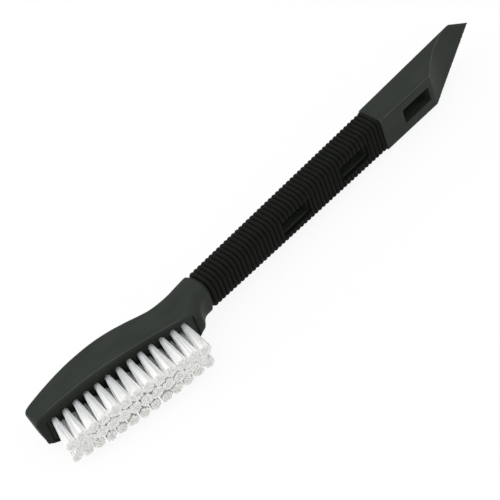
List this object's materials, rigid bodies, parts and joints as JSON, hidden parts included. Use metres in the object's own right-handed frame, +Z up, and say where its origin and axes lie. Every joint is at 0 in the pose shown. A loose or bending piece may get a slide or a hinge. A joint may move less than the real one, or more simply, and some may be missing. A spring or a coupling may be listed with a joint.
{
  "type": "hand brush with scraper",
  "caption": "Hand brush with a tufted bristle head at one end, a ribbed rubber grip in the middle and a bevelled, pointed scraper at the other end.",
  "frame": {"origin": "on the scraper's flat far side, 15 mm past the end of the grip, on the grip's middle line", "axes": "+X along the handle from the brush head to the scraper's tip, +Y toward the back, with the bristles toward -Y, +Z up from the side that the brush lies on"},
  "size_m": [0.2604, 0.0405, 0.021],
  "materials": {
    "handle": "grey-green moulded polypropylene, satin, lightly textured",
    "grip": "matt black ribbed rubber",
    "bristle": "white nylon filament, slightly glossy"
  },
  "bodies": {
    "root": {"grip_sleeve": "grip", "handle_body": "handle", "tuft_far_01": "bristle", "tuft_far_02": "bristle", "tuft_far_03": "bristle", "tuft_far_04": "bristle", "tuft_far_05": "bristle", "tuft_far_06": "bristle", "tuft_far_07": "bristle", "tuft_far_08": "bristle", "tuft_far_09": "bristle", "tuft_far_10": "bristle", "tuft_far_11": "bristle", "tuft_far_12": "bristle", "tuft_far_13": "bristle", "tuft_mid_01": "bristle", "tuft_mid_02": "bristle", "tuft_mid_03": "bristle", "tuft_mid_04": "bristle", "tuft_mid_05": "bristle", "tuft_mid_06": "bristle", "tuft_mid_07": "bristle", "tuft_mid_08": "bristle", "tuft_mid_09": "bristle", "tuft_mid_10": "bristle", "tuft_mid_11": "bristle", "tuft_mid_12": "bristle", "tuft_near_01": "bristle", "tuft_near_02": "bristle", "tuft_near_03": "bristle", "tuft_near_04": "bristle", "tuft_near_05": "bristle", "tuft_near_06": "bristle", "tuft_near_07": "bristle", "tuft_near_08": "bristle", "tuft_near_09": "bristle", "tuft_near_10": "bristle", "tuft_near_11": "bristle", "tuft_near_12": "bristle", "tuft_near_13": "bristle"}
  },
  "joints": []
}
